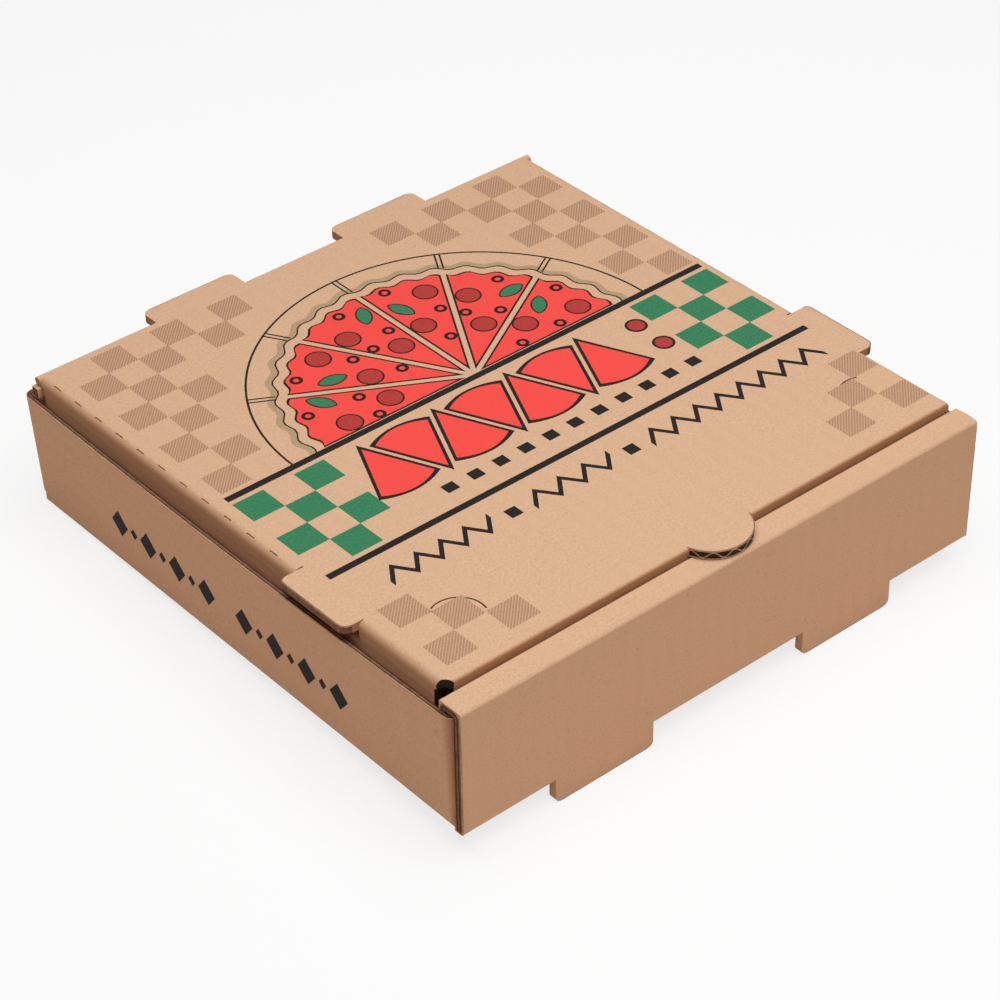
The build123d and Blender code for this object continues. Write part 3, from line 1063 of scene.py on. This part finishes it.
def pressFolds(values):
    bm = bmesh.new()
    radius, proud = box["foldRadius"], values["proud"]
    for corner, first, second, along, (start, end), sharp in values["folds"]:
        section = [(radius, -proud)]
        section += arcPoints((sharp - proud, sharp - proud), sharp, 270, 180, 8)
        section.append((-proud, radius))
        section += arcPoints((radius, radius), radius - values["sink"], 180, 270, 10)
        origin, first, second, along = Vector(corner), Vector(first), Vector(second), Vector(along)
        points = [origin + first * a + second * b + along * start for a, b in section]
        face = bm.faces.new([bm.verts.new(p * mm) for p in points])
        made = bmesh.ops.extrude_face_region(bm, geom=[face])["geom"]
        moved = [v for v in made if isinstance(v, bmesh.types.BMVert)]
        bmesh.ops.translate(bm, verts=moved, vec=along * (end - start) * mm)
    finishPiece("tray_pressed_folds", bm, trayBoard, "tray")


pressFolds(pressedFolds)
print("folds pressed")

# Floor, tilted to meet the feet and the base's rear edge, and the light
studio = {
    "floorSize": 6.0,
    "floorTilt": 2.3,
    "floorLift": 0.00425,
    "floorTone": (0.90, 0.90, 0.90, 1),
    "floorBounce": (0.90, 0.73, 0.62, 1),
    "floorGlow": 0.78,
    "white": (1, 1, 1, 1),
    "worldStrength": 0.08,
    "lampPower": 12.5,
    "lampSize": 1.1,
    "lampPlace": (-0.03, -0.22, 1.0),
    "lampAim": (0, 0, 0.03),
}


def blendForView(nodes, links, share, plain, shown, output):
    # shows the second shader to the camera, in gloss and through clear things, by the given share
    seen = nodes.new("ShaderNodeLightPath")
    rays = maths(nodes, links, "MAXIMUM", seen.outputs["Is Camera Ray"], seen.outputs["Is Glossy Ray"])
    rays = maths(nodes, links, "MAXIMUM", rays, seen.outputs["Is Transmission Ray"])
    blend = nodes.new("ShaderNodeMixShader")
    links.new(maths(nodes, links, "MULTIPLY", rays, share), blend.inputs[0])
    links.new(plain.outputs[0], blend.inputs[1])
    links.new(shown.outputs[0], blend.inputs[2])
    links.new(blend.outputs[0], nodes[output].inputs["Surface"])
    return seen


def makeFloor(values):
    bm = bmesh.new()
    tilt = Matrix.Rotation(math.radians(values["floorTilt"]), 3, "X")
    bmesh.ops.create_grid(bm, x_segments=1, y_segments=1, size=values["floorSize"] / 2)
    bmesh.ops.rotate(bm, verts=bm.verts[:], matrix=tilt)
    bmesh.ops.translate(bm, verts=bm.verts[:], vec=(0, 0, values["floorLift"]))
    mesh = bpy.data.meshes.new("floor")
    bm.to_mesh(mesh)
    bm.free()
    floor = bpy.data.objects.new("floor", mesh)
    bpy.context.collection.objects.link(floor)
    material, nodes, links, shader = nodeMaterial("pale_floor", 0.9)
    glow = addNode(nodes, "ShaderNodeEmission", Strength=1.0)
    seen = blendForView(nodes, links, values["floorGlow"], shader, glow, "Material Output")
    tone = mixColour(nodes, links, seen.outputs["Is Camera Ray"], values["floorBounce"], values["floorTone"])
    links.new(tone, shader.inputs["Base Color"])
    mesh.materials.append(material)


def makeLight(values):
    world = bpy.data.worlds.new("studio")
    bpy.context.scene.world = world
    world.use_nodes = True
    nodes, links = world.node_tree.nodes, world.node_tree.links
    soft, white = nodes["Background"], nodes.new("ShaderNodeBackground")
    soft.inputs["Strength"].default_value = values["worldStrength"]
    for shader in (soft, white):
        shader.inputs["Color"].default_value = values["white"]
    blendForView(nodes, links, 1.0, soft, white, "World Output")
    lamp = bpy.data.objects.new("softbox", bpy.data.lights.new("softbox", "AREA"))
    bpy.context.collection.objects.link(lamp)
    lamp.data.shape = "SQUARE"
    lamp.data.size = values["lampSize"]
    lamp.data.energy = values["lampPower"]
    lamp.location = values["lampPlace"]
    aim = Vector(values["lampAim"]) - lamp.location
    lamp.rotation_euler = aim.to_track_quat("-Z", "Y").to_euler()


makeFloor(studio)
makeLight(studio)
bpy.context.scene.view_settings.view_transform = "Standard"
print("studio lit")
